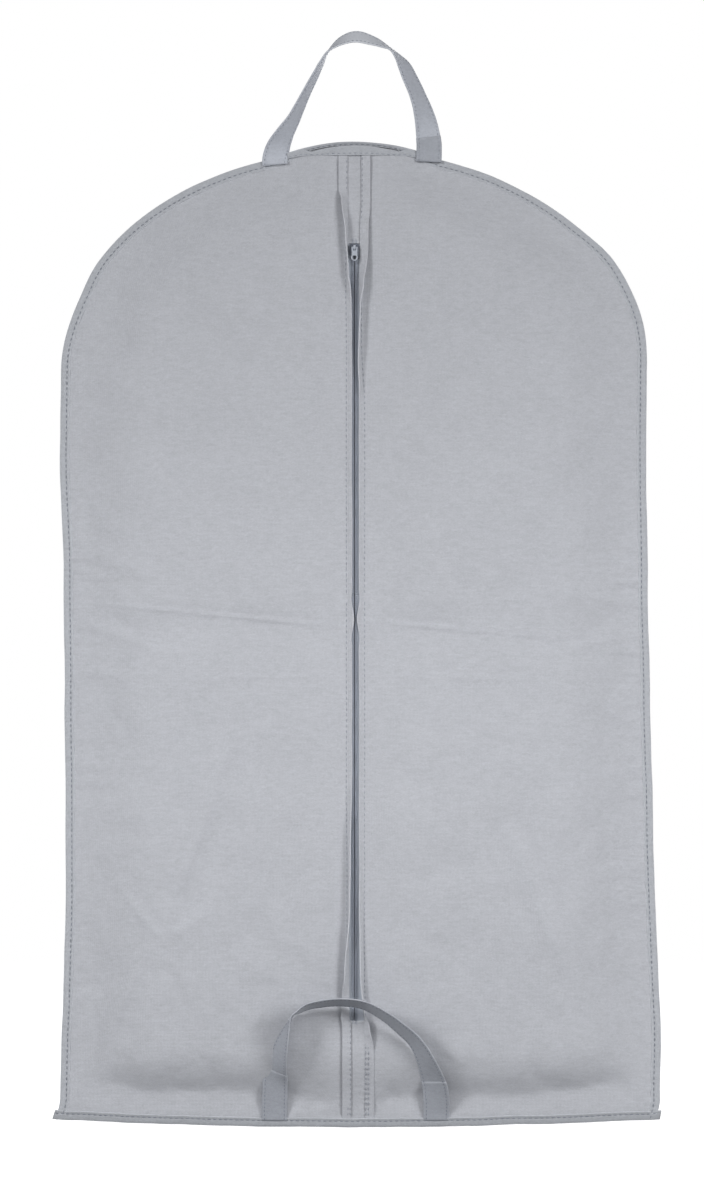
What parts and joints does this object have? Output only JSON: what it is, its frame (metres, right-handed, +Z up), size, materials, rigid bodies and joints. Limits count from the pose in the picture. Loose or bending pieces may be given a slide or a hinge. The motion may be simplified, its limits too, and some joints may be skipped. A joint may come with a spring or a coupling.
{
  "type": "garment bag",
  "caption": "Flat non-woven garment bag with rounded shoulders, a hanger opening, a full-length front zip and a carrying handle at each end; it folds in half.",
  "frame": {"origin": "centre of the neck opening, midway between its front and back edges, at the height of the top of the back's neck edge", "axes": "+Z up along the hanging bag, +X across it to the right as seen from the front, -Y out of the zipped front"},
  "size_m": [0.6, 0.0602, 1.1058],
  "materials": {
    "panel_fabric": "matte embossed non-woven",
    "binding_fabric": "matte folded non-woven tape with a stitch row",
    "strap_fabric": "matte folded non-woven, edge stitched",
    "zip_tape": "fine woven tape",
    "zip_coil": "satin nylon coil",
    "slider_metal": "satin paint"
  },
  "bodies": {
    "upper_half": {"back_panel_upper": "panel_fabric", "edge_binding_upper": "binding_fabric", "neck_hem": "binding_fabric", "top_zip_patch": "panel_fabric", "zip_top_end": "zip_coil", "top_handle_feet": "strap_fabric"},
    "lower_half": {"back_panel_lower": "panel_fabric", "edge_binding_lower_left": "binding_fabric", "edge_binding_lower_right": "binding_fabric", "hem_binding": "binding_fabric", "front_panel_left_lower": "panel_fabric", "front_panel_right_lower": "panel_fabric", "bottom_zip_patch": "panel_fabric", "zip_bottom_end": "zip_coil", "zip_tape_left_lower": "zip_tape", "zip_tape_right_lower": "zip_tape", "zip_coil_left_lower": "zip_coil", "zip_coil_right_lower": "zip_coil"},
    "front_left_flap": {"front_panel_left_upper": "panel_fabric", "zip_tape_left_upper": "zip_tape", "zip_coil_left_upper": "zip_coil"},
    "front_right_flap": {"front_panel_right_upper": "panel_fabric", "zip_tape_right_upper": "zip_tape", "zip_coil_right_upper": "zip_coil"},
    "zip_slider": {"zip_slider": "slider_metal"},
    "zip_pull": {"zip_pull": "slider_metal"},
    "top_handle": {"top_handle": "strap_fabric"},
    "bottom_handle": {"bottom_handle": "strap_fabric"}
  },
  "joints": [
    {"name": "fold_in_half", "type": "hinge", "parent": "upper_half", "child": "lower_half", "pos_m": [0, 0.0056, -0.4901], "axis": [1, 0, 0], "range_deg": [0, 175]},
    {"name": "left_flap_opening", "type": "hinge", "parent": "upper_half", "child": "front_left_flap", "pos_m": [-0.2903, 0.0032, -0.3], "axis": [0, 0, 1], "range_deg": [-20, 0]},
    {"name": "right_flap_opening", "type": "hinge", "parent": "upper_half", "child": "front_right_flap", "pos_m": [0.2903, 0.0032, -0.3], "axis": [0, 0, -1], "range_deg": [-20, 0]},
    {"name": "zip_travel", "type": "slide", "parent": "upper_half", "child": "zip_slider", "axis": [0, 0, 1], "range_m": [-0.765, 0]},
    {"name": "pull_tab_swing", "type": "hinge", "parent": "zip_slider", "child": "zip_pull", "pos_m": [0, -0.0192, -0.11], "axis": [-1, 0, 0], "range_deg": [0, 160]},
    {"name": "top_handle_swing", "type": "hinge", "parent": "upper_half", "child": "top_handle", "pos_m": [0, 0.0022, -0.007], "axis": [1, 0, 0], "range_deg": [-100, 100]},
    {"name": "bottom_handle_swing", "type": "hinge", "parent": "lower_half", "child": "bottom_handle", "pos_m": [0, 0, -0.98985], "axis": [1, 0, 0], "range_deg": [0, 170]}
  ]
}
